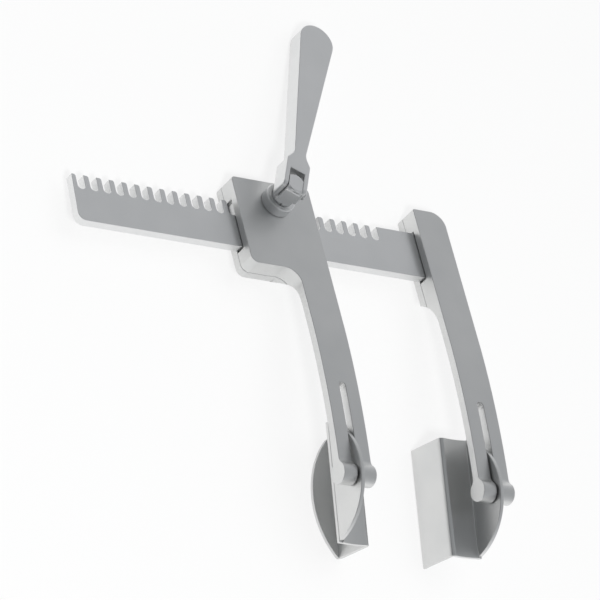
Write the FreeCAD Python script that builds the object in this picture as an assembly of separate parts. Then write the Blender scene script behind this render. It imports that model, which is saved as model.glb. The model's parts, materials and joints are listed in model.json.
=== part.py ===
import FreeCAD, Part
import math
import os

from FreeCAD import Vector

# Self retaining rib spreader, in millimetres. The rack, the two arms and the crank are drawn in the
# instrument's own frame: x along the rack from the first slot towards the fixed arm, y from the blades
# towards the rack with 0 at the tooth tips, z towards the surgeon with 0 on the rack's front face.
# The whole is then laid on a table, on its two blade lips and the top back edge of its blocks.

# Rack bar
rack_height = 25.4
rack_thickness = 4.6
tooth_pitch = 7.0
slot_width = 4.2
slot_depth = 7.9
slot_count = 25
tooth_tip_chamfer = 0.7
end_tooth_width = 2.15
end_rake = 1.5
end_corner_radius = 4.0
plain_length = 22.6

# The block at the head of each arm, round the rack
block_rise = 11.6
block_height = 47.9
front_cover_depth = 4.4
block_thickness = 13.3
housing_width = 44.9
housing_corner = 2.0
housing_low_corner = 3.8
fixed_arm_corner = 8.0
fixed_arm_small_corner = 1.0
arm_spread = 63.1

# Arms
arm_width = 18.4
arm_thickness = 4.3
arm_root_radius = 8.0
arm_back_radius = 18.0
bend_start = 60.0
bend_radius = 440.0
pin_reach = 140.6
knuckle_radius = 5.3
knuckle_blend = 4.0
arm_slot_width = 3.5
arm_slot_length = 42.8
arm_slot_hole = 1.9
knuckle_pin_radius = 2.0
knuckle_pin_cover = 2.0

# Fits
slide_gap = 0.1
running_gap = 0.05
pivot_gap = 0.03
mouth_gap = 0.35
mouth_end_gap = 0.8
mouth_depth = 1.5

# Cover screws and the rivets at the rack's fixed end
screw_radius = 2.0
screw_length = 10.5
screw_inset = 6.0
socket_wall = 4.0
rivet_radius = 2.0
rivet_seat = 2.4
rivet_inset = 8.4
rivet_spacing = 12.6

# Crank
crank_drop = 0.3
shaft_radius = 5.0
shaft_foot_gap = 0.1
flange_radius = 6.4
flange_depth = 1.15
cavity_radius = 6.7
washer_depth = 0.5
collar_radius = 7.8
collar_rim_radius = 7.4
collar_height = 5.25
collar_rim_chamfer = 0.4
collar_recess_radius = 5.45
collar_recess_depth = 0.5
collar_groove_depth = 0.5
collar_groove_height = 0.35
bush_spigot_radius = 6.3
rear_bush_radius = 6.5
drive_pin_radius = 1.25
drive_pin_seat = 5.8
disc_gap = 0.25
disc_recess = 0.2
disc_pin_cover = 0.4
tang_top_chamfer = 0.4
tang_gap = 0.2
tang_heel = 5.3
tang_heel_round = 2.4

# Crank handle
handle_angle = 22.4
handle_length = 106.1
handle_thickness = 9.8
handle_rise = 22.4
fork_width = 12.8
fork_slot_width = 7.9
fork_slot_end = 8.0
fork_heel = 3.6
fork_heel_round = 2.2
fork_side_round = 1.2
fork_shoulder = 13.8
fork_shoulder_round = 2.0
neck_start = 18.8
neck_width = 6.3
neck_round = 7.0
tip_width = 20.4
handle_pin_radius = 2.0
handle_pin_cover = 1.2
handle_pin_head = 2.4
handle_pin_head_depth = 1.6

# Blades
blade_length = 58.0
blade_depth = 37.6
blade_sheet = 2.0
blade_bend = 2.2
web_depth = 14.0
web_reach = 16.85
web_sag = 0.6
lip_height = 13.6
fin_thickness = 2.0
fin_radius = 29.5
fin_rise = 7.0
fin_root_fillet = 0.8
blade_offset = 0.9

# Places worked out from the sizes above
fixed_x = (slot_count - 1) * tooth_pitch + slot_width + plain_length
slider_right = fixed_x - arm_spread
slider_left = slider_right - housing_width
slider_arm_x = slider_right - arm_width
fixed_right = fixed_x + arm_width
block_low = block_rise - block_height
front_z = front_cover_depth
back_z = front_cover_depth - block_thickness
arm_back_z = front_z - arm_thickness
seam_z = -rack_thickness - slide_gap
bend_centre_z = front_z - bend_radius
pin_angle = math.asin((pin_reach - bend_start) / (bend_radius - arm_thickness / 2))
pin_y = -pin_reach
pin_z = bend_centre_z + (bend_radius - arm_thickness / 2) * math.cos(pin_angle)
crank_x = slider_left + housing_width / 2
crank_y = -crank_drop
crank_radius = tooth_pitch / 2
crank_phase = math.pi * ((crank_x - slot_width / 2) % tooth_pitch) / tooth_pitch
collar_top_z = front_z + collar_height
handle_pin_z = handle_rise - handle_thickness / 2
shaft_foot_z = slide_gap + shaft_foot_gap
washer_back_z = shaft_foot_z + flange_depth + running_gap
washer_front_z = washer_back_z + washer_depth
screw_rows = (block_rise / 2, (block_low - rack_height) / 2)

# The instrument leans back until the blade lips and the blocks' top back edge share one plane
lean_run = block_rise + pin_reach
lean_rise = pin_z - back_z
lean = math.asin(blade_depth / math.hypot(lean_run, lean_rise)) - math.atan2(lean_rise, lean_run)


def rounded_face(corners):
    """A flat XY face: corners (x, y, radius) joined by lines and tangent arcs."""
    count = len(corners)
    joints = []
    for index, (x, y, radius) in enumerate(corners):
        corner = Vector(x, y, 0)
        if radius == 0:
            joints.append((corner, None, corner))
            continue
        before = corners[index - 1]
        after = corners[(index + 1) % count]
        back = (Vector(before[0], before[1], 0) - corner).normalize()
        ahead = (Vector(after[0], after[1], 0) - corner).normalize()
        half = back.getAngle(ahead) / 2
        reach = radius / math.tan(half)
        centre = corner + (back + ahead).normalize() * (radius / math.sin(half))
        middle = centre + (corner - centre).normalize() * radius
        joints.append((corner + back * reach, middle, corner + ahead * reach))
    edges = []
    for index, (start, middle, end) in enumerate(joints):
        if middle:
            edges.append(Part.Arc(start, middle, end).toShape())
        following = joints[(index + 1) % count][0]
        if end.distanceToPoint(following) > 1e-6:
            edges.append(Part.makeLine(end, following))
    return Part.Face(Part.Wire(edges))


def slab(corners, low_z, high_z):
    """A plate of the given outline between two heights."""
    face = rounded_face(corners)
    face.translate(Vector(0, 0, low_z))
    return face.extrude(Vector(0, 0, high_z - low_z))


def block(x0, x1, y0, y1, z0, z1):
    return Part.makeBox(x1 - x0, y1 - y0, z1 - z0, Vector(x0, y0, z0))


def rod_z(x, y, radius, z0, z1):
    return Part.makeCylinder(radius, z1 - z0, Vector(x, y, z0))


def rod_x(x0, x1, y, z, radius):
    return Part.makeCylinder(radius, x1 - x0, Vector(x0, y, z), Vector(1, 0, 0))


def ring_z(x, y, outer, inner, z0, z1):
    return rod_z(x, y, outer, z0, z1).cut(rod_z(x, y, inner, z0, z1))


def turned(profile, x, y):
    """A solid of revolution about the z line through (x, y) from (radius, z) points."""
    points = [Vector(x + radius, y, z) for radius, z in profile]
    face = Part.Face(Part.makePolygon(points + points[:1]))
    return face.revolve(Vector(x, y, 0), Vector(0, 0, 1), 360)


def rack_bar():
    """Toothed bar: round-bottomed slots at one pitch, a leaning end with one rounded corner."""
    round_y = slot_width / 2 - slot_depth
    edges = []
    pen = Vector(-end_tooth_width, 0, 0)

    def line_to(x, y):
        nonlocal pen
        edges.append(Part.makeLine(pen, Vector(x, y, 0)))
        pen = Vector(x, y, 0)

    for index in range(slot_count):
        left = index * tooth_pitch
        right = left + slot_width
        line_to(left - tooth_tip_chamfer, 0)
        line_to(left, -tooth_tip_chamfer)
        line_to(left, round_y)
        round_end = Vector(right, round_y, 0)
        edges.append(Part.Arc(pen, Vector((left + right) / 2, -slot_depth, 0), round_end).toShape())
        pen = round_end
        line_to(right, 0)
    rack_end = fixed_right - socket_wall - running_gap
    line_to(rack_end, 0)
    line_to(rack_end, -rack_height)
    toe = rounded_face([(-end_tooth_width, 0, 0),
                        (-end_tooth_width - end_rake, -rack_height, end_corner_radius),
                        (rack_end, -rack_height, 0), (rack_end, 0, 0)])
    toe_bar = toe.extrude(Vector(0, 0, -rack_thickness))
    line_to(-end_tooth_width - end_rake, -rack_height)
    line_to(-end_tooth_width, 0)
    bar = Part.Face(Part.Wire(edges)).extrude(Vector(0, 0, -rack_thickness))
    bar = bar.common(toe_bar)
    return bar.cut(Part.makeCompound(rivets()))


def rivets():
    """Two rivets from the back plate's face, through the rack's end and into the arm."""
    middle_y = -rack_height / 2
    return [rod_z(fixed_x + rivet_inset, middle_y + side * rivet_spacing / 2, rivet_radius,
                  back_z, slide_gap + rivet_seat) for side in (1, -1)]


def bend_point(x, angle, radius):
    return Vector(x, -bend_start - radius * math.sin(angle), bend_centre_z + radius * math.cos(angle))


def arm_blank(x0, x1):
    """Side view of block and arm: thick head, hollow-curved back, thin arm bent gently backwards."""
    inner_radius = bend_radius - arm_thickness
    step = arm_back_z - back_z
    run = math.sqrt(arm_back_radius ** 2 - (arm_back_radius - step) ** 2)
    curve_y = block_low - run
    half_turn = math.asin(run / arm_back_radius) / 2
    curve_middle = Vector(x0, curve_y + arm_back_radius * math.sin(half_turn),
                          arm_back_z - arm_back_radius * (1 - math.cos(half_turn)))
    corners = [Vector(x0, block_rise, front_z), Vector(x0, -bend_start, front_z),
               bend_point(x0, pin_angle, bend_radius), bend_point(x0, pin_angle, inner_radius),
               Vector(x0, -bend_start, arm_back_z), Vector(x0, curve_y, arm_back_z),
               Vector(x0, block_low, back_z), Vector(x0, block_rise, back_z)]
    edges = [
        Part.makeLine(corners[0], corners[1]),
        Part.Arc(corners[1], bend_point(x0, pin_angle / 2, bend_radius), corners[2]).toShape(),
        Part.makeLine(corners[2], corners[3]),
        Part.Arc(corners[3], bend_point(x0, pin_angle / 2, inner_radius), corners[4]).toShape(),
        Part.makeLine(corners[4], corners[5]),
        Part.Arc(corners[5], curve_middle, corners[6]).toShape(),
        Part.makeLine(corners[6], corners[7]),
        Part.makeLine(corners[7], corners[0]),
    ]
    return Part.Face(Part.Wire(edges)).extrude(Vector(x1 - x0, 0, 0))


def knuckled(arm, x0, x1):
    """Round the arm's end into a knuckle, blend it in, and cut the blade's slot and pin hole."""
    arm = arm.fuse(rod_x(x0, x1, pin_y, pin_z, knuckle_radius)).removeSplitter()
    neck_y = pin_y + knuckle_radius / 2

    def on_neck(edge):
        ends = [vertex.Point for vertex in edge.Vertexes]
        if len(ends) != 2 or abs(ends[0].x - ends[1].x) < arm_width / 2:
            return False
        reach = math.hypot(ends[0].y - pin_y, ends[0].z - pin_z)
        return abs(reach - knuckle_radius) < 0.01 and ends[0].y > neck_y

    arm = arm.makeFillet(knuckle_blend, [edge for edge in arm.Edges if on_neck(edge)])
    middle = (x0 + x1) / 2
    slot_top = pin_y + arm_slot_length
    through = block_thickness + knuckle_radius * 2
    slot = block(middle - arm_slot_width / 2, middle + arm_slot_width / 2,
                 pin_y - knuckle_radius * 2, slot_top, -through, through)
    relief = rod_z(middle, slot_top, arm_slot_hole, -through, through)
    return arm.cut(slot).cut(relief).cut(knuckle_pin(x0, x1))


def knuckle_pin(x0, x1):
    """Blade pin, driven in from the right and blind on the left."""
    return rod_x(x0 + knuckle_pin_cover, x1, pin_y, pin_z, knuckle_pin_radius)


def back_zone():
    """The space behind the seam that the back plates fill."""
    return block(slider_left - 1, fixed_right + 1, -bend_start, block_rise + 1, back_z - 1, seam_z)


def rack_channel(x0, x1, gap, mouths):
    """Room for the rack between two x planes, a little wider where it opens at each mouth."""
    channel = block(x0, x1, -rack_height - gap, gap, seam_z - 1, gap)
    for x in mouths:
        channel = channel.fuse(block(x - mouth_depth, x + mouth_depth, -rack_height - mouth_end_gap,
                                     mouth_end_gap, seam_z - 1, mouth_gap))
    return channel


def cover_screws():
    """Four screws through the housing's back plate and into the arm, their heads flush with it."""
    return [rod_z(x, y, screw_radius, back_z, back_z + screw_length)
            for x in (slider_left + screw_inset, slider_right - screw_inset) for y in screw_rows]


def fixed_arm_whole():
    low_y = pin_y - knuckle_radius * 2
    plan = slab([(fixed_x, block_rise, fixed_arm_small_corner),
                 (fixed_right, block_rise, fixed_arm_corner),
                 (fixed_right, low_y, 0), (fixed_x, low_y, 0)], -block_thickness * 4, front_z * 4)
    return knuckled(arm_blank(fixed_x, fixed_right), fixed_x, fixed_right).common(plan)


def fixed_arm():
    """Right arm: closed socket for the rack's end, open at the back until its plate is on."""
    arm = fixed_arm_whole().cut(back_zone())
    socket = rack_channel(fixed_x - 1, fixed_right - socket_wall, slide_gap / 2, [fixed_x])
    return arm.cut(Part.makeCompound([socket] + rivets()))


def arm_clamp_plate():
    plate = fixed_arm_whole().common(back_zone())
    return plate.cut(Part.makeCompound(rivets()))


def sliding_arm_whole():
    low_y = pin_y - knuckle_radius * 2
    plan = slab([(slider_left, block_rise, housing_corner), (slider_right, block_rise, housing_corner),
                 (slider_right, low_y, 0), (slider_arm_x, low_y, 0),
                 (slider_arm_x, block_low, arm_root_radius),
                 (slider_left, block_low, housing_low_corner)], -block_thickness * 4, front_z * 4)
    thick_head = arm_blank(slider_left, slider_right)
    arm_only = knuckled(arm_blank(slider_arm_x, slider_right), slider_arm_x, slider_right)
    head_zone = block(slider_left - 1, slider_right + 1, -bend_start, block_rise + 1,
                      back_z - 1, front_z + 1)
    return thick_head.common(head_zone).fuse(arm_only).removeSplitter().common(plan)


def sliding_arm():
    """Left arm: its head is the housing that runs on the rack and carries the crank."""
    arm = sliding_arm_whole().cut(back_zone())
    bore = rod_z(crank_x, crank_y, bush_spigot_radius, washer_front_z, front_z + 1)
    cavity = rod_z(crank_x, crank_y, cavity_radius, seam_z - 1, washer_front_z)
    channel = rack_channel(slider_left - 1, slider_right + 1, slide_gap, [slider_left, slider_right])
    return arm.cut(Part.makeCompound([channel, bore, cavity] + cover_screws()))


def housing_cover():
    cover = sliding_arm_whole().common(back_zone())
    bore = rod_z(crank_x, crank_y, rear_bush_radius, back_z - 1, seam_z + 1)
    return cover.cut(Part.makeCompound([bore] + cover_screws()))


def crank_bush():
    """Collar on the housing: a spigot in the front wall, a foot groove and a thin raised rim."""
    groove_top = front_z + collar_groove_height
    bore = shaft_radius + running_gap
    return turned([
        (bore, washer_front_z), (bush_spigot_radius, washer_front_z), (bush_spigot_radius, front_z),
        (collar_radius - collar_groove_depth, front_z),
        (collar_radius - collar_groove_depth, groove_top), (collar_radius, groove_top),
        (collar_radius, collar_top_z - collar_rim_chamfer), (collar_rim_radius, collar_top_z),
        (collar_recess_radius, collar_top_z),
        (collar_recess_radius, collar_top_z - collar_recess_depth),
        (bore, collar_top_z - collar_recess_depth),
    ], crank_x, crank_y)


def thrust_washer():
    return ring_z(crank_x, crank_y, cavity_radius - running_gap, shaft_radius + running_gap,
                  washer_back_z, washer_front_z)


def rear_bush():
    return ring_z(crank_x, crank_y, rear_bush_radius, shaft_radius + running_gap, back_z, seam_z)


def handle_turned(shape):
    """Turn a crank piece drawn along +y at the origin to the handle's angle on the crank axis."""
    shape.rotate(Vector(0, 0, 0), Vector(0, 0, 1), -handle_angle)
    shape.translate(Vector(crank_x, crank_y, 0))
    return shape


def drive_pins():
    """Two pins at half a pitch from the axis that walk from slot to slot, half a turn a tooth."""
    low_z = back_z + disc_recess + disc_pin_cover
    high_z = shaft_foot_z + drive_pin_seat
    across = crank_radius * math.sin(crank_phase)
    down = crank_radius * math.cos(crank_phase)
    return [rod_z(crank_x - side * across, crank_y - side * down, drive_pin_radius, low_z, high_z)
            for side in (1, -1)]


def heel_block(half_width, reach, front_round, low_z, side_round):
    """Block from the hinge pin down to a squared heel, rounded at its front edge and its sides."""
    plan = slab([(-half_width, -reach, side_round), (half_width, -reach, side_round),
                 (half_width, 0, 0), (-half_width, 0, 0)], low_z, handle_rise)
    corner_y = front_round - reach
    corner_z = handle_rise - front_round
    corner = block(-half_width, half_width, -reach, corner_y, corner_z, handle_rise)
    return plan.cut(corner.cut(rod_x(-half_width, half_width, corner_y, corner_z, front_round)))


def crank_shaft():
    """Flanged shaft with a flat-sided tang; the shoulder under the flats clears the fork's swing."""
    flange_top_z = shaft_foot_z + flange_depth
    chamfer_z = handle_rise - tang_top_chamfer
    shaft = turned([(0, shaft_foot_z), (flange_radius, shaft_foot_z), (flange_radius, flange_top_z),
                    (shaft_radius, flange_top_z), (shaft_radius, chamfer_z),
                    (shaft_radius - tang_top_chamfer, handle_rise), (0, handle_rise)], 0, 0)
    half_tang = fork_slot_width / 2 - tang_gap
    shoulder_z = handle_pin_z - math.hypot(fork_heel, handle_thickness / 2) - 2 * running_gap
    for side in (1, -1):
        near, far = sorted((side * half_tang, side * shaft_radius * 2))
        shaft = shaft.cut(block(near, far, -shaft_radius * 2, shaft_radius * 2,
                                shoulder_z, handle_rise + 1))
    shaft = shaft.fuse(heel_block(half_tang, tang_heel, tang_heel_round, shoulder_z, 0))
    shaft = shaft.cut(rod_x(-shaft_radius * 2, shaft_radius * 2, 0, handle_pin_z,
                            handle_pin_radius + pivot_gap))
    return handle_turned(shaft).cut(Part.makeCompound(drive_pins()))


def rear_pin_disc():
    disc = rod_z(crank_x, crank_y, shaft_radius, back_z + disc_recess, -rack_thickness - disc_gap)
    return disc.cut(Part.makeCompound(drive_pins()))


def crank_handle():
    """Forked paddle: parallel fork, hollow shoulders, slim neck, sides opening to a full round tip."""
    half = handle_thickness / 2
    taper = math.atan2(tip_width / 2 - neck_width / 2, handle_length - neck_start)
    tip_radius = tip_width / 2 * math.tan((math.pi / 2 - taper) / 2)
    right_side = [(fork_width / 2, 0, 0), (fork_width / 2, fork_shoulder, fork_shoulder_round),
                  (neck_width / 2, neck_start, neck_round), (tip_width / 2, handle_length, tip_radius)]
    left_side = [(-x, y, radius) for x, y, radius in reversed(right_side)]
    paddle = slab(right_side + left_side, handle_pin_z - half, handle_rise)
    heel = heel_block(fork_width / 2, fork_heel, fork_heel_round, handle_pin_z - half, fork_side_round)
    paddle = paddle.fuse(heel).removeSplitter()
    window = block(-fork_slot_width / 2, fork_slot_width / 2, -handle_thickness, fork_slot_end,
                   handle_pin_z - handle_thickness, handle_pin_z + handle_thickness)
    hole = rod_x(handle_pin_cover - fork_width / 2, fork_width, 0, handle_pin_z, handle_pin_radius)
    return handle_turned(paddle.cut(window).cut(hole))


def handle_pin():
    """Hinge pin, blind in the left leg and headed outside the right one."""
    half = fork_width / 2
    shank = rod_x(handle_pin_cover - half, half, 0, handle_pin_z, handle_pin_radius)
    head = rod_x(half, half + handle_pin_head_depth, 0, handle_pin_z, handle_pin_head)
    return handle_turned(shank.fuse(head).removeSplitter())


def blade_channel(fin_x, side, middle_y):
    """Bent sheet, open outwards for the rib: sagging web, flat plate against the wound, curved lip."""
    top = blade_depth - web_depth
    foot = fin_thickness / 2
    face_s = web_reach
    bend_s = web_reach - blade_bend
    inner_s = web_reach - blade_sheet
    inner_bend = blade_bend - blade_sheet
    root_s = foot + fin_root_fillet
    sag_s = (root_s + bend_s) / 2
    turn = math.sqrt(0.5)
    lip_s = web_reach - lip_height
    low_y = middle_y - blade_length / 2

    def at(s, z):
        return Vector(fin_x + side * s, low_y, z)

    def bend(centre_s, centre_z, radius, up):
        return at(centre_s + radius * turn, centre_z + up * radius * turn)

    outline = [
        Part.makeLine(at(-foot, top), at(foot, top)),
        Part.makeLine(at(foot, top), at(foot, top + fin_root_fillet)),
        Part.Arc(at(foot, top + fin_root_fillet),
                 bend(root_s, top + fin_root_fillet, -fin_root_fillet, 1), at(root_s, top)).toShape(),
        Part.Arc(at(root_s, top), at(sag_s, top - web_sag), at(bend_s, top)).toShape(),
        Part.makeLine(at(bend_s, top), bend(bend_s, top - blade_bend, blade_bend, 1)),
        Part.makeLine(bend(bend_s, top - blade_bend, blade_bend, 1), at(face_s, top - blade_bend)),
        Part.makeLine(at(face_s, top - blade_bend), at(face_s, blade_bend)),
        Part.Arc(at(face_s, blade_bend), bend(bend_s, blade_bend, blade_bend, -1),
                 at(bend_s, 0)).toShape(),
        Part.makeLine(at(bend_s, 0), at(lip_s, 0)),
        Part.makeLine(at(lip_s, 0), at(lip_s, blade_sheet)),
        Part.makeLine(at(lip_s, blade_sheet), at(bend_s, blade_sheet)),
        Part.Arc(at(bend_s, blade_sheet), bend(bend_s, blade_bend, inner_bend, -1),
                 at(inner_s, blade_bend)).toShape(),
        Part.makeLine(at(inner_s, blade_bend), at(inner_s, top - blade_bend)),
        Part.Arc(at(inner_s, top - blade_bend), bend(bend_s, top - blade_bend, inner_bend, 1),
                 at(bend_s, top - blade_sheet)).toShape(),
        Part.Arc(at(bend_s, top - blade_sheet), at(sag_s, top - web_sag - blade_sheet),
                 at(foot, top - blade_sheet)).toShape(),
        Part.makeLine(at(foot, top - blade_sheet), at(-foot, top - blade_sheet)),
        Part.makeLine(at(-foot, top - blade_sheet), at(-foot, top)),
    ]
    channel = Part.Face(Part.Wire(outline)).extrude(Vector(0, blade_length, 0))
    rise = bend_s - lip_s
    lip_radius = ((blade_length / 2) ** 2 + rise ** 2) / (2 * rise)
    ends = sorted((fin_x + side * (lip_s - 1), fin_x + side * bend_s))
    corners = block(ends[0], ends[1], low_y - 1, low_y + blade_length + 1, -1, blade_bend)
    moon = rod_z(fin_x + side * (lip_s + lip_radius), middle_y, lip_radius, -2, blade_bend + 1)
    return channel.cut(corners.cut(moon))


def blade_fin(fin_x, middle_y):
    """Half-round fin that stands in the arm's slot; the pin's hole is a little off its middle."""
    left = fin_x - fin_thickness / 2
    right = fin_x + fin_thickness / 2
    centre_z = blade_depth + fin_rise - fin_radius
    disc = rod_x(left, right, middle_y, centre_z, fin_radius)
    above = block(left, right, middle_y - fin_radius, middle_y + fin_radius,
                  blade_depth - web_depth, blade_depth + fin_radius)
    hole = rod_x(left - 1, right + 1, middle_y - blade_offset, blade_depth,
                 knuckle_pin_radius + pivot_gap)
    return disc.common(above).cut(hole)


# Where the table frame's origin lies: bottom centre of the whole instrument
middle_x = (fixed_right - end_tooth_width - end_rake) / 2
handle_lean = math.radians(handle_angle)
tip_taper = math.atan2(tip_width / 2 - neck_width / 2, handle_length - neck_start)
tip_round = tip_width / 2 * math.tan((math.pi / 2 - tip_taper) / 2)
tip_y = crank_y + (handle_length - tip_round) * math.cos(handle_lean) + tip_round
far_y = tip_y * math.cos(lean) + handle_rise * math.sin(lean)
pivot_run = pin_y * math.cos(lean) + pin_z * math.sin(lean)
middle_y = (far_y + pivot_run + blade_offset - blade_length / 2) / 2
table_z = -(back_z * math.cos(lean) - block_rise * math.sin(lean))
blade_middle_y = pivot_run + blade_offset - middle_y


def on_table(shape):
    """Lean an instrument-frame piece back and stand it on the table."""
    shape.rotate(Vector(0, 0, 0), Vector(1, 0, 0), -math.degrees(lean))
    shape.translate(Vector(-middle_x, -middle_y, table_z))
    return shape


left_fin_x = slider_arm_x + arm_width / 2 - middle_x
right_fin_x = fixed_x + arm_width / 2 - middle_x

instrument = {
    "rack_bar": rack_bar(),
    "fixed_arm": fixed_arm(),
    "arm_clamp_plate": arm_clamp_plate(),
    "rack_rivets": Part.makeCompound(rivets()),
    "knuckle_pin_right": knuckle_pin(fixed_x, fixed_right),
    "sliding_arm": sliding_arm(),
    "housing_cover": housing_cover(),
    "cover_screws": Part.makeCompound(cover_screws()),
    "crank_bush": crank_bush(),
    "thrust_washer": thrust_washer(),
    "rear_bush": rear_bush(),
    "knuckle_pin_left": knuckle_pin(slider_arm_x, slider_right),
    "crank_shaft": crank_shaft(),
    "drive_pins": Part.makeCompound(drive_pins()),
    "rear_pin_disc": rear_pin_disc(),
    "crank_handle": crank_handle(),
    "handle_pin": handle_pin(),
}
blades = {
    "blade_left_channel": blade_channel(left_fin_x, 1, blade_middle_y),
    "blade_left_fin": blade_fin(left_fin_x, blade_middle_y),
    "blade_right_channel": blade_channel(right_fin_x, -1, blade_middle_y),
    "blade_right_fin": blade_fin(right_fin_x, blade_middle_y),
}

os.makedirs("parts", exist_ok=True)
for name, piece in instrument.items():
    on_table(piece).exportStep("parts/" + name + ".step")
for name, piece in blades.items():
    piece.exportStep("parts/" + name + ".step")
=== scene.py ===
import itertools
import json
import math

import bmesh
import bpy
from mathutils import Matrix, Vector


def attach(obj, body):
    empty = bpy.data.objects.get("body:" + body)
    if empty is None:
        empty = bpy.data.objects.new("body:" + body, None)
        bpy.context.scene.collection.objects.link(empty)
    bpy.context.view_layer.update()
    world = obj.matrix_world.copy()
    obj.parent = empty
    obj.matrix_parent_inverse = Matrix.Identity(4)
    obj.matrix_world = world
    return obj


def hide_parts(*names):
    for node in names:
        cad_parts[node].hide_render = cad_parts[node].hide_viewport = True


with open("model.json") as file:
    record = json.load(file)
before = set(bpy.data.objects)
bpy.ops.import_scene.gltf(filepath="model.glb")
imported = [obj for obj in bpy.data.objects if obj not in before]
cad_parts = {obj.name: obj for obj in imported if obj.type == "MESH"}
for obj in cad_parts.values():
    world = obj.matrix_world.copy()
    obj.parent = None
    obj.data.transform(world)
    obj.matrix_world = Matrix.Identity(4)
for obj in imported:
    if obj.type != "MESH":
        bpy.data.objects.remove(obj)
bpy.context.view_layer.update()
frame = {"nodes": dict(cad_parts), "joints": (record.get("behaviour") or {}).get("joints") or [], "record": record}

MM = 0.001

# Camera: where the photograph was taken from, in metres, with its roll and its long lens
CAMERA_PLACE = Vector((-1.03928, -0.62225, 1.36340))
CAMERA_FORWARD = Vector((0.58000, 0.33521, -0.74243))
CAMERA_DOWN = Vector((0.12920, -0.93774, -0.32253))
SENSOR_MM = 36.0
FOCAL_PX = 3888.2
IMAGE_PX = 600
FARTHEST_SEEN = 30.0

# The instrument leans on its blades. In its own frame, in millimetres, x runs along the rack from the
# first slot, y is up to the tooth tips and z is the height over the rack's front face.
CRANK_JOINT = Vector((109.25, -0.3, 4.4))

# Rack bar
RACK_HEIGHT = 25.4
RACK_THICKNESS = 4.6
TOOTH_PITCH = 7.0
SLOT_WIDTH = 4.2
SLOT_DEPTH = 7.9
SLOT_COUNT = 25
TIP_CHAMFER = 0.7
END_TOOTH = 2.15
END_RAKE = 1.5
END_ROUND = 4.0
RACK_END = 209.15
ARC_POINTS = 19
TOE_POINTS = 10
TOE_BEYOND = 0.5
MERGE_MM = 0.001

# Back plate of the housing and its screws
HOUSING_BACK = -8.9
SCREW_LEFT, SCREW_RIGHT = 92.8, 125.7
SCREW_LOW, SCREW_HIGH = -30.85, 5.8
SCREW_HEAD_RADIUS = 2.9
SCREW_HEAD_DEPTH = 1.4
SCREW_HEAD_PROUD = 0.35
SCREW_SHANK_RADIUS = 1.8
SCREW_LENGTH = 9.0
DRIVER_SLOT_WIDTH = 0.8
DRIVER_SLOT_DEPTH = 0.6
HEAD_SIDES = 48
SHANK_SIDES = 24

# Rounded edges that bead blasting leaves, in millimetres, by node
EDGE_ROUND = {
    "fixed_arm": 0.28,
    "arm_clamp_plate": 0.2,
    "rack_rivets": 0.25,
    "knuckle_pin_left": 0.2,
    "knuckle_pin_right": 0.2,
    "sliding_arm": 0.28,
    "housing_cover": 0.2,
    "crank_bush": 0.15,
    "rear_bush": 0.15,
    "rear_pin_disc": 0.15,
    "crank_shaft": 0.18,
    "crank_handle": 0.45,
    "handle_pin": 0.4,
    "blade_left_channel": 0.3,
    "blade_left_fin": 0.35,
    "blade_right_channel": 0.3,
    "blade_right_fin": 0.35,
}
RACK_EDGE_ROUND = 0.22
SCREW_EDGE_ROUND = 0.15
EDGE_SEGMENTS = 3

# An edge is sharp from the first angle and a feather edge, left as it is, from the second; so are two
# edges that meet at less than the third, and an edge with less room than this many roundings beside it
EDGE_ANGLE = math.radians(25)
FEATHER_ANGLE = math.radians(150)
PINCH_ANGLE = math.radians(30)
EDGE_ROOM = 2.0

# Triangles that lie this flat to each other are one face, and corners this near are one corner
FLAT_ANGLE = math.radians(0.5)
WELD = 0.004 * MM
# The channels' inner bends are nearly sharp, so their few hundredths are closed up before the edges are
# rounded
CHANNEL_WELD = 0.15 * MM

# Grain of the metals: broad clouds of tone and gloss, and fine peening
CLOUD_SCALE = 55.0
CLOUD_DETAIL = 4.0
CLOUD_LOW, CLOUD_HIGH = 0.3, 0.7
GLOSS_SPREAD = 0.03
PEENING_DETAIL = 2.0
PEENING_STRENGTH = 0.35

# Paper under the object: half its side in metres, its dullness, and the share of plain white in it where
# the camera sees it and where the steel mirrors it
FLOOR_HALF = 6.0
PAPER_ROUGHNESS = 0.95
CAMERA_GLOW = 0.78
MIRROR_GLOW = 0.5

# Studio that the steel reflects: greys near the horizon, overhead and on the left, and the direction
# components between which one passes into the next
SKY_LOW, SKY_HIGH, SKY_LEFT = "#cfd0d2", "#aaacae", "#737577"
SKY_TOP_HEIGHT = 0.8
LEFT_START, LEFT_FULL = 0.1, -0.4

# Lamps: place in metres, side in metres and power in watts
KEY_PLACE, KEY_SIDE, KEY_POWER = (-0.78, -0.95, 1.6), 0.3, 20.0
FILL_PLACE, FILL_SIDE, FILL_POWER = (0.3, 0.3, 1.8), 1.8, 12.0

# Parts that take the smoother steel whose brighter base colour is painted sheen
FINE_STEEL_AND_PAINTED_SHEEN = ("crank_handle", "crank_bush", "crank_shaft", "handle_pin")
PINS = ("cover_screws", "rack_rivets", "knuckle_pin_left", "knuckle_pin_right", "handle_pin", "drive_pins")
BEARINGS = ("thrust_washer", "rear_bush")


def srgb(code):
    """Hex sRGB colour to the linear RGBA that the shaders take."""
    levels = [int(code[i:i + 2], 16) / 255 for i in (1, 3, 5)]
    return [c / 12.92 if c <= 0.04045 else ((c + 0.055) / 1.055) ** 2.4 for c in levels] + [1.0]


def add_node(tree, kind, inputs=(), **settings):
    """One node: settings are its properties, inputs are (socket, value or output) pairs."""
    node = tree.nodes.new(kind)
    for name, value in settings.items():
        setattr(node, name, value)
    for socket, value in inputs:
        if isinstance(value, bpy.types.NodeSocket):
            tree.links.new(value, node.inputs[socket])
        else:
            node.inputs[socket].default_value = value
    return node


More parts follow.
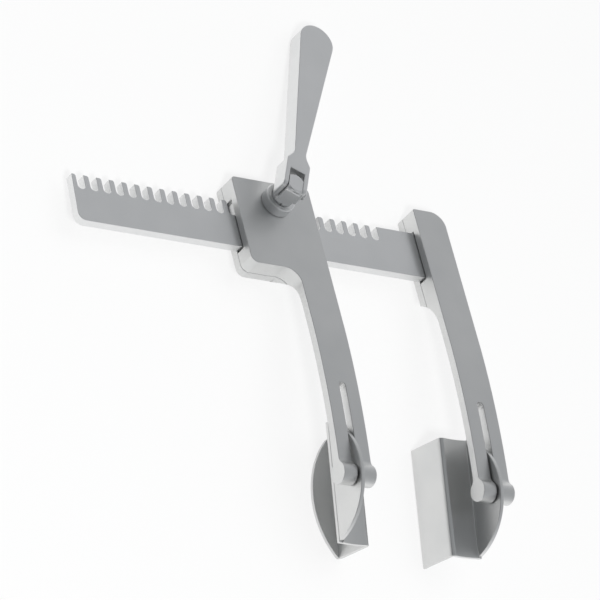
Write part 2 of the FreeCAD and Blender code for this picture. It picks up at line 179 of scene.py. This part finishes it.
def blasted_metal(name, colour, dull_colour, roughness, grain, grain_depth):
    """Metal with an even matt grain: cloudy tone and gloss, and a fine bump."""
    material = bpy.data.materials.new(name)
    material.use_nodes = True
    tree = material.node_tree
    tree.nodes.clear()
    place = add_node(tree, "ShaderNodeTexCoord").outputs["Object"]
    clouds = add_node(tree, "ShaderNodeTexNoise",
                      [("Vector", place), ("Scale", CLOUD_SCALE), ("Detail", CLOUD_DETAIL)]).outputs["Fac"]
    peening = add_node(tree, "ShaderNodeTexNoise",
                       [("Vector", place), ("Scale", grain), ("Detail", PEENING_DETAIL)]).outputs["Fac"]
    tone = add_node(tree, "ShaderNodeMix", [("Factor", clouds), (6, srgb(colour)), (7, srgb(dull_colour))],
                    data_type="RGBA")
    gloss = add_node(tree, "ShaderNodeMapRange",
                     [("Value", clouds), ("From Min", CLOUD_LOW), ("From Max", CLOUD_HIGH),
                      ("To Min", roughness - GLOSS_SPREAD), ("To Max", roughness + GLOSS_SPREAD)])
    bump = add_node(tree, "ShaderNodeBump",
                    [("Strength", PEENING_STRENGTH), ("Distance", grain_depth), ("Height", peening)])
    shader = add_node(tree, "ShaderNodeBsdfPrincipled",
                      [("Metallic", 1.0), ("Base Color", tone.outputs[2]),
                       ("Roughness", gloss.outputs["Result"]), ("Normal", bump.outputs["Normal"])])
    add_node(tree, "ShaderNodeOutputMaterial", [("Surface", shader.outputs["BSDF"])])
    return material


# Bead-blasted stainless steel: the even, matt silver of the arms, their blocks and the blades
steel = blasted_metal("bead_blasted_stainless_steel", "#e7e7e6", "#dfe0e0", 0.42, 4200.0, 0.02 * MM)
# Fine-blasted stainless steel on the rack and the crank: smoother, and its base colour a shade brighter, a painted
# sheen that stands for the brighter light their fronts catch
fine_steel_and_painted_sheen = blasted_metal("fine_blasted_steel_and_painted_sheen", "#f1f1f1", "#eaebeb", 0.38, 5200.0,
                             0.012 * MM)
# Satin ground stainless steel: pins, rivets and screws
pin_steel = blasted_metal("satin_ground_stainless_steel", "#d6d6d5", "#cccdcd", 0.33, 5200.0,
                          0.01 * MM)
# Turned bearing bronze: the rear bush and the washer
bronze = blasted_metal("turned_bearing_bronze", "#c69a5c", "#b98d50", 0.36, 3600.0, 0.01 * MM)


def slot_of(node):
    """The record's material slot that a node takes."""
    if node in PINS:
        return "pin_steel"
    return "bronze" if node in BEARINGS else "satin_steel"


def finish_of(node):
    # these parts get the steel with the painted sheen in its base colour
    if node in FINE_STEEL_AND_PAINTED_SHEEN:
        return fine_steel_and_painted_sheen
    return {"satin_steel": steel, "pin_steel": pin_steel, "bronze": bronze}[slot_of(node)]


def body_of(node):
    return next(body for body, nodes in frame["record"]["behaviour"]["bodies"].items() if node in nodes)


def instrument_frame():
    """Turns the instrument's own millimetres into the frame's metres: the crank's joint fixes both."""
    joint = next(joint for joint in frame["joints"] if joint["name"] == "crank_turn")
    height_axis = Vector(joint["axis"])
    rack_axis = Vector((1, 0, 0))
    axes = Matrix((rack_axis, height_axis.cross(rack_axis), height_axis)).transposed().to_4x4()
    return Matrix.Translation(joint["pos_m"]) @ axes @ Matrix.Scale(MM, 4) @ Matrix.Translation(-CRANK_JOINT)


def plain_piece(name, mesh):
    piece = bpy.data.objects.new(name, mesh)
    bpy.context.scene.collection.objects.link(piece)
    return piece


def room_beside(loop):
    """Clear way across the loop's face, from the middle of the loop's edge to the next sharp edge."""
    start, end = loop.vert.co, loop.link_loop_next.vert.co
    middle = (start + end) / 2
    along = (end - start).normalized()
    inward = loop.face.normal.cross(along)
    room = math.inf
    for other in loop.face.loops:
        one, two = other.vert.co - middle, other.link_loop_next.vert.co - middle
        one_along, two_along = one.dot(along), two.dot(along)
        is_sharp = other.edge.calc_face_angle(math.pi) > EDGE_ANGLE
        if is_sharp and other is not loop and one_along * two_along < 0:
            share = one_along / (one_along - two_along)
            distance = one.dot(inward) * (1 - share) + two.dot(inward) * share
            if distance > 0:
                room = min(room, distance)
    return room


def mark_edges(mesh, width):
    """Mark the sharp edges that have room for a rounding; feather edges and slivers stay as they are."""
    shape = bmesh.new()
    shape.from_mesh(mesh)
    mark = shape.edges.layers.float.new("bevel_weight_edge")
    for edge in shape.edges:
        if edge.is_manifold and EDGE_ANGLE < edge.calc_face_angle() < FEATHER_ANGLE:
            room = min(room_beside(loop) for loop in edge.link_loops)
            edge[mark] = 1.0 if room > EDGE_ROOM * width else 0.0
    for vertex in shape.verts:
        marked = [edge for edge in vertex.link_edges if edge[mark]]
        for one, two in itertools.combinations(marked, 2):
            ways = [edge.other_vert(vertex).co - vertex.co for edge in (one, two)]
            if ways[0].angle(ways[1]) < PINCH_ANGLE:
                one[mark] = two[mark] = 0.0
    shape.to_mesh(mesh)
    shape.free()


def eased(piece, width):
    """Round the piece's sharp edges, keep its flats flat, and leave it as a plain mesh."""
    piece.data.shade_smooth()
    mark_edges(piece.data, width * MM)
    bevel = piece.modifiers.new("edge", "BEVEL")
    bevel.width = width * MM
    bevel.segments = EDGE_SEGMENTS
    bevel.limit_method = "WEIGHT"
    bevel.use_clamp_overlap = False
    piece.modifiers.new("flats", "WEIGHTED_NORMAL")
    depsgraph = bpy.context.evaluated_depsgraph_get()
    baked = bpy.data.meshes.new_from_object(piece.evaluated_get(depsgraph))
    piece.modifiers.clear()
    piece.data = baked
    return piece


def stand_for(piece, node, material):
    """Dress the piece, let it ride on the node's body, and let it stand for the node."""
    piece.data.materials.clear()
    piece.data.materials.append(material)
    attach(piece, body_of(node))
    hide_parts(node)


def merged_copy(node):
    """The node's own solid with its loose triangles joined into faces."""
    shape = bmesh.new()
    shape.from_mesh(frame["nodes"][node].data)
    weld = CHANNEL_WELD if node.endswith("channel") else WELD
    bmesh.ops.remove_doubles(shape, verts=shape.verts, dist=weld)
    bmesh.ops.dissolve_limit(shape, angle_limit=FLAT_ANGLE, verts=shape.verts, edges=shape.edges)
    mesh = bpy.data.meshes.new("look_" + node)
    shape.to_mesh(mesh)
    shape.free()
    return plain_piece("look_" + node, mesh)


def new_geometry_tree(name, sizes):
    """A geometry tree with one named input for each size."""
    tree = bpy.data.node_groups.new(name, "GeometryNodeTree")
    for label, value in sizes.items():
        kind = "NodeSocketInt" if isinstance(value, int) else "NodeSocketFloat"
        socket = tree.interface.new_socket(name=label, in_out="INPUT", socket_type=kind)
        socket.default_value = value
    tree.interface.new_socket(name="Geometry", in_out="OUTPUT", socket_type="NodeSocketGeometry")
    return tree, tree.nodes.new("NodeGroupInput").outputs


def grown(name, tree, material):
    """The mesh that a geometry tree makes, as a piece in the frame's metres."""
    piece = plain_piece(name, bpy.data.meshes.new(name))
    piece.modifiers.new("rule", "NODES").node_group = tree
    depsgraph = bpy.context.evaluated_depsgraph_get()
    mesh = bpy.data.meshes.new_from_object(piece.evaluated_get(depsgraph))
    piece.modifiers.clear()
    mesh.transform(instrument_frame())
    piece.data = mesh
    piece.data.materials.clear()
    piece.data.materials.append(material)
    return piece


def toothed_bar_tree():
    """Rack bar: one slot's outline repeated along a line, closed by the bar's ends, filled and raised."""
    tree, size = new_geometry_tree("toothed_bar", {
        "Slots": SLOT_COUNT, "Pitch": TOOTH_PITCH, "Slot Width": SLOT_WIDTH, "Slot Depth": SLOT_DEPTH,
        "Tip Chamfer": TIP_CHAMFER, "Height": RACK_HEIGHT, "Thickness": RACK_THICKNESS,
        "End Tooth": END_TOOTH, "End Rake": END_RAKE, "End Round": END_ROUND, "Length": RACK_END})
    minus = {}
    for label in ("Slot Depth", "Tip Chamfer", "Height", "Thickness", "End Tooth", "End Rake"):
        minus[label] = add_node(tree, "ShaderNodeMath", [(0, size[label]), (1, -1.0)],
                                operation="MULTIPLY").outputs[0]
    radius = add_node(tree, "ShaderNodeMath", [(0, size["Slot Width"]), (1, 0.5)],
                      operation="MULTIPLY").outputs[0]
    round_y = add_node(tree, "ShaderNodeMath", [(0, radius), (1, minus["Slot Depth"])],
                       operation="ADD").outputs[0]
    land_x = add_node(tree, "ShaderNodeMath", [(0, size["Pitch"]), (1, minus["Tip Chamfer"])],
                      operation="ADD").outputs[0]
    toe_x = add_node(tree, "ShaderNodeMath", [(0, minus["End Tooth"]), (1, minus["End Rake"])],
                     operation="ADD").outputs[0]
    points = {}
    for label, x, y in (("slot top", 0.0, minus["Tip Chamfer"]), ("tip start", size["Slot Width"], 0.0),
                        ("tip end", land_x, 0.0), ("bar start", minus["End Tooth"], 0.0),
                        ("first tip end", minus["Tip Chamfer"], 0.0), ("bar end", size["Length"], 0.0),
                        ("bar foot", size["Length"], minus["Height"]), ("toe", toe_x, minus["Height"])):
        place = add_node(tree, "ShaderNodeCombineXYZ", [("X", x), ("Y", y)]).outputs[0]
        points[label] = add_node(tree, "GeometryNodePoints", [("Position", place)]).outputs[0]

    bottom = add_node(tree, "GeometryNodeCurveArc",
                      [("Resolution", ARC_POINTS), ("Radius", radius), ("Start Angle", math.pi),
                       ("Sweep Angle", math.pi)])
    centre = add_node(tree, "ShaderNodeCombineXYZ", [("X", radius), ("Y", round_y)]).outputs[0]
    placed = add_node(tree, "GeometryNodeTransform",
                      [("Geometry", bottom.outputs["Curve"]), ("Translation", centre)])
    arc = add_node(tree, "GeometryNodeCurveToPoints", [("Curve", placed.outputs[0])], mode="EVALUATED")

    # A joined geometry begins with what was linked last, so each outline is listed from its end
    slot = add_node(tree, "GeometryNodeJoinGeometry",
                    [(0, points["tip end"]), (0, points["tip start"]), (0, arc.outputs["Points"]),
                     (0, points["slot top"])])
    step = add_node(tree, "ShaderNodeCombineXYZ", [("X", size["Pitch"])]).outputs[0]
    row = add_node(tree, "GeometryNodeMeshLine", [("Count", size["Slots"]), ("Offset", step)])
    slots = add_node(tree, "GeometryNodeInstanceOnPoints",
                     [("Points", row.outputs[0]), ("Instance", slot.outputs[0])])
    toothed = add_node(tree, "GeometryNodeRealizeInstances", [("Geometry", slots.outputs[0])])
    outline = add_node(tree, "GeometryNodeJoinGeometry",
                       [(0, points["toe"]), (0, points["bar foot"]), (0, points["bar end"]),
                        (0, toothed.outputs[0]), (0, points["first tip end"]), (0, points["bar start"])])
    line = add_node(tree, "GeometryNodePointsToCurves", [("Points", outline.outputs[0])])
    loop = add_node(tree, "GeometryNodeSetSplineCyclic", [("Geometry", line.outputs[0]), ("Cyclic", True)])

    # Only the toe, the one corner beyond the end tooth's tip, is rounded
    here = add_node(tree, "GeometryNodeInputPosition").outputs[0]
    across = add_node(tree, "ShaderNodeSeparateXYZ", [(0, here)]).outputs["X"]
    beyond = add_node(tree, "ShaderNodeMath", [(0, minus["End Tooth"]), (1, across)],
                      operation="SUBTRACT").outputs[0]
    is_toe = add_node(tree, "ShaderNodeMath", [(0, beyond), (1, TOE_BEYOND)],
                      operation="GREATER_THAN").outputs[0]
    toe_radius = add_node(tree, "ShaderNodeMath", [(0, is_toe), (1, size["End Round"])],
                          operation="MULTIPLY").outputs[0]
    rounded = add_node(tree, "GeometryNodeFilletCurve", [("Curve", loop.outputs[0])], mode="POLY")
    rounded.inputs["Count"].default_value = TOE_POINTS
    tree.links.new(toe_radius, rounded.inputs["Radius"])

    back = add_node(tree, "ShaderNodeCombineXYZ", [("Z", minus["Thickness"])]).outputs[0]
    filled = add_node(tree, "GeometryNodeFillCurve", [("Curve", rounded.outputs[0])], mode="NGONS")
    face = add_node(tree, "GeometryNodeTransform",
                    [("Geometry", filled.outputs[0]), ("Translation", back)])
    raised = add_node(tree, "GeometryNodeExtrudeMesh",
                      [("Mesh", face.outputs[0]), ("Offset Scale", size["Thickness"]),
                       ("Individual", False)], mode="FACES")
    under = add_node(tree, "GeometryNodeFlipFaces", [("Mesh", face.outputs[0])])
    solid = add_node(tree, "GeometryNodeJoinGeometry",
                     [(0, raised.outputs["Mesh"]), (0, under.outputs[0])])
    closed = add_node(tree, "GeometryNodeMergeByDistance",
                      [("Geometry", solid.outputs[0]), ("Distance", MERGE_MM)])
    real = add_node(tree, "GeometryNodeRealizeInstances", [("Geometry", closed.outputs[0])])
    dressed = add_node(tree, "GeometryNodeSetMaterial",
                       [("Geometry", real.outputs[0]), ("Material", fine_steel_and_painted_sheen)])
    add_node(tree, "NodeGroupOutput", [(0, dressed.outputs[0])])
    return tree


def slotted_screws_tree():
    """Four low screw heads on a two by two grid, each with a driver slot and a shank behind it."""
    tree, size = new_geometry_tree("slotted_screws", {
        "Columns Apart": SCREW_RIGHT - SCREW_LEFT, "Rows Apart": SCREW_HIGH - SCREW_LOW,
        "Head Radius": SCREW_HEAD_RADIUS, "Head Depth": SCREW_HEAD_DEPTH, "Head Proud": SCREW_HEAD_PROUD,
        "Shank Radius": SCREW_SHANK_RADIUS, "Length": SCREW_LENGTH,
        "Slot Width": DRIVER_SLOT_WIDTH, "Slot Depth": DRIVER_SLOT_DEPTH})
    half_head = add_node(tree, "ShaderNodeMath", [(0, size["Head Depth"]), (1, 0.5)],
                         operation="MULTIPLY").outputs[0]
    head_z = add_node(tree, "ShaderNodeMath", [(0, half_head), (1, size["Head Proud"])],
                      operation="SUBTRACT").outputs[0]
    top_z = add_node(tree, "ShaderNodeMath", [(0, size["Head Proud"]), (1, -1.0)],
                     operation="MULTIPLY").outputs[0]
    shank_z = add_node(tree, "ShaderNodeMath", [(0, size["Length"]), (1, 0.5)],
                       operation="MULTIPLY").outputs[0]
    twice_deep = add_node(tree, "ShaderNodeMath", [(0, size["Slot Depth"]), (1, 2.0)],
                          operation="MULTIPLY").outputs[0]
    wide = add_node(tree, "ShaderNodeMath", [(0, size["Head Radius"]), (1, 3.0)],
                    operation="MULTIPLY").outputs[0]
    notch = add_node(tree, "ShaderNodeCombineXYZ",
                     [("X", wide), ("Y", size["Slot Width"]), ("Z", twice_deep)]).outputs[0]
    head = add_node(tree, "GeometryNodeMeshCylinder",
                    [("Vertices", HEAD_SIDES), ("Radius", size["Head Radius"]),
                     ("Depth", size["Head Depth"])])
    shank = add_node(tree, "GeometryNodeMeshCylinder",
                     [("Vertices", SHANK_SIDES), ("Radius", size["Shank Radius"]), ("Depth", size["Length"])])
    cutter = add_node(tree, "GeometryNodeMeshCube", [("Size", notch)])
    parts = []
    for mesh, z in ((head, head_z), (cutter, top_z), (shank, shank_z)):
        place = add_node(tree, "ShaderNodeCombineXYZ", [("Z", z)]).outputs[0]
        parts.append(add_node(tree, "GeometryNodeTransform",
                              [("Geometry", mesh.outputs["Mesh"]), ("Translation", place)]).outputs[0])
    slotted = add_node(tree, "GeometryNodeMeshBoolean", [("Mesh 1", parts[0]), ("Mesh 2", parts[1])],
                       operation="DIFFERENCE", solver="EXACT")
    screw = add_node(tree, "GeometryNodeJoinGeometry", [(0, slotted.outputs[0]), (0, parts[2])])
    grid = add_node(tree, "GeometryNodeMeshGrid",
                    [("Size X", size["Columns Apart"]), ("Size Y", size["Rows Apart"]),
                     ("Vertices X", 2), ("Vertices Y", 2)])
    middle = Vector(((SCREW_LEFT + SCREW_RIGHT) / 2, (SCREW_LOW + SCREW_HIGH) / 2, HOUSING_BACK))
    placed = add_node(tree, "GeometryNodeTransform",
                      [("Geometry", grid.outputs["Mesh"]), ("Translation", middle)])
    four = add_node(tree, "GeometryNodeInstanceOnPoints",
                    [("Points", placed.outputs[0]), ("Instance", screw.outputs[0])])
    real = add_node(tree, "GeometryNodeRealizeInstances", [("Geometry", four.outputs[0])])
    dressed = add_node(tree, "GeometryNodeSetMaterial",
                       [("Geometry", real.outputs[0]), ("Material", pin_steel)])
    add_node(tree, "NodeGroupOutput", [(0, dressed.outputs[0])])
    return tree


# The rack takes the steel with the painted sheen in its base colour
rack = grown("look_rack_bar", toothed_bar_tree(), fine_steel_and_painted_sheen)
stand_for(eased(rack, RACK_EDGE_ROUND), "rack_bar", fine_steel_and_painted_sheen)
screws = grown("look_cover_screws", slotted_screws_tree(), pin_steel)
stand_for(eased(screws, SCREW_EDGE_ROUND), "cover_screws", pin_steel)

for name, node in frame["nodes"].items():
    if name in EDGE_ROUND:
        stand_for(eased(merged_copy(name), EDGE_ROUND[name]), name, finish_of(name))
    elif name not in ("rack_bar", "cover_screws"):
        node.data.materials.clear()
        node.data.materials.append(finish_of(name))


def white_paper():
    """Matt white paper that shows almost white in the picture and in the steel, and keeps a faint shadow."""
    material = bpy.data.materials.new("matt_white_paper")
    material.use_nodes = True
    tree = material.node_tree
    tree.nodes.clear()
    paper = add_node(tree, "ShaderNodeBsdfPrincipled",
                     [("Base Color", srgb("#f6f6f5")), ("Roughness", PAPER_ROUGHNESS)])
    glow = add_node(tree, "ShaderNodeEmission", [("Color", srgb("#ffffff")), ("Strength", 1.0)])
    rays = add_node(tree, "ShaderNodeLightPath").outputs
    seen = add_node(tree, "ShaderNodeMath", [(0, rays["Is Camera Ray"]), (1, CAMERA_GLOW)],
                    operation="MULTIPLY").outputs[0]
    mirrored = add_node(tree, "ShaderNodeMath", [(0, rays["Is Glossy Ray"]), (1, MIRROR_GLOW)],
                        operation="MULTIPLY").outputs[0]
    share = add_node(tree, "ShaderNodeMath", [(0, seen), (1, mirrored)], operation="ADD").outputs[0]
    mix = add_node(tree, "ShaderNodeMixShader",
                   [(0, share), (1, paper.outputs["BSDF"]), (2, glow.outputs["Emission"])])
    add_node(tree, "ShaderNodeOutputMaterial", [("Surface", mix.outputs["Shader"])])
    return material


floor_mesh = bpy.data.meshes.new("floor")
floor_mesh.from_pydata([(x, y, 0.0) for x, y in ((-FLOOR_HALF, -FLOOR_HALF), (FLOOR_HALF, -FLOOR_HALF),
                                                 (FLOOR_HALF, FLOOR_HALF), (-FLOOR_HALF, FLOOR_HALF))],
                       [], [(0, 1, 2, 3)])
floor_mesh.materials.append(white_paper())
plain_piece("floor", floor_mesh)


def studio_sky():
    """Grey studio for the steel to reflect, lighter low down, dark on the left; white to the camera."""
    world = bpy.data.worlds.new("studio")
    bpy.context.scene.world = world
    world.use_nodes = True
    tree = world.node_tree
    tree.nodes.clear()
    direction = add_node(tree, "ShaderNodeTexCoord").outputs["Generated"]
    way = add_node(tree, "ShaderNodeSeparateXYZ", [(0, direction)]).outputs
    climb = add_node(tree, "ShaderNodeMapRange",
                     [("Value", way["Z"]), ("From Min", 0.0), ("From Max", SKY_TOP_HEIGHT)],
                     interpolation_type="SMOOTHSTEP").outputs["Result"]
    tone = add_node(tree, "ShaderNodeMix", [("Factor", climb), (6, srgb(SKY_LOW)), (7, srgb(SKY_HIGH))],
                    data_type="RGBA")
    left = add_node(tree, "ShaderNodeMapRange",
                    [("Value", way["X"]), ("From Min", LEFT_START), ("From Max", LEFT_FULL)],
                    interpolation_type="SMOOTHSTEP").outputs["Result"]
    shaded = add_node(tree, "ShaderNodeMix",
                      [("Factor", left), (6, tone.outputs[2]), (7, srgb(SKY_LEFT))], data_type="RGBA")
    grey = add_node(tree, "ShaderNodeBackground", [("Color", shaded.outputs[2]), ("Strength", 1.0)])
    white = add_node(tree, "ShaderNodeBackground", [("Color", srgb("#ffffff")), ("Strength", 1.0)])
    rays = add_node(tree, "ShaderNodeLightPath").outputs
    mix = add_node(tree, "ShaderNodeMixShader",
                   [(0, rays["Is Camera Ray"]), (1, grey.outputs["Background"]),
                    (2, white.outputs["Background"])])
    add_node(tree, "ShaderNodeOutputWorld", [("Surface", mix.outputs["Shader"])])


studio_sky()


def soft_box(name, place, side, power):
    """One square lamp that faces the object; it lights the paper and stays out of the steel."""
    lamp = bpy.data.lights.new(name, "AREA")
    lamp.size = side
    lamp.energy = power
    holder = bpy.data.objects.new(name, lamp)
    holder.location = place
    holder.rotation_mode = "QUATERNION"
    holder.rotation_quaternion = (-Vector(place)).to_track_quat("-Z", "Y")
    holder.visible_glossy = False
    bpy.context.scene.collection.objects.link(holder)


soft_box("key", KEY_PLACE, KEY_SIDE, KEY_POWER)
soft_box("fill", FILL_PLACE, FILL_SIDE, FILL_POWER)

camera_data = bpy.data.cameras.new("camera")
camera_data.sensor_width = SENSOR_MM
camera_data.lens = FOCAL_PX / IMAGE_PX * SENSOR_MM
camera_data.clip_end = FARTHEST_SEEN
camera = bpy.data.objects.new("camera", camera_data)
bpy.context.scene.collection.objects.link(camera)
back = -CAMERA_FORWARD.normalized()
up = -(CAMERA_DOWN - back * CAMERA_DOWN.dot(back)).normalized()
right = up.cross(back)
camera.matrix_world = Matrix.Translation(CAMERA_PLACE) @ Matrix((right, up, back)).transposed().to_4x4()
bpy.context.scene.camera = camera

bpy.context.scene.view_settings.view_transform = "Standard"
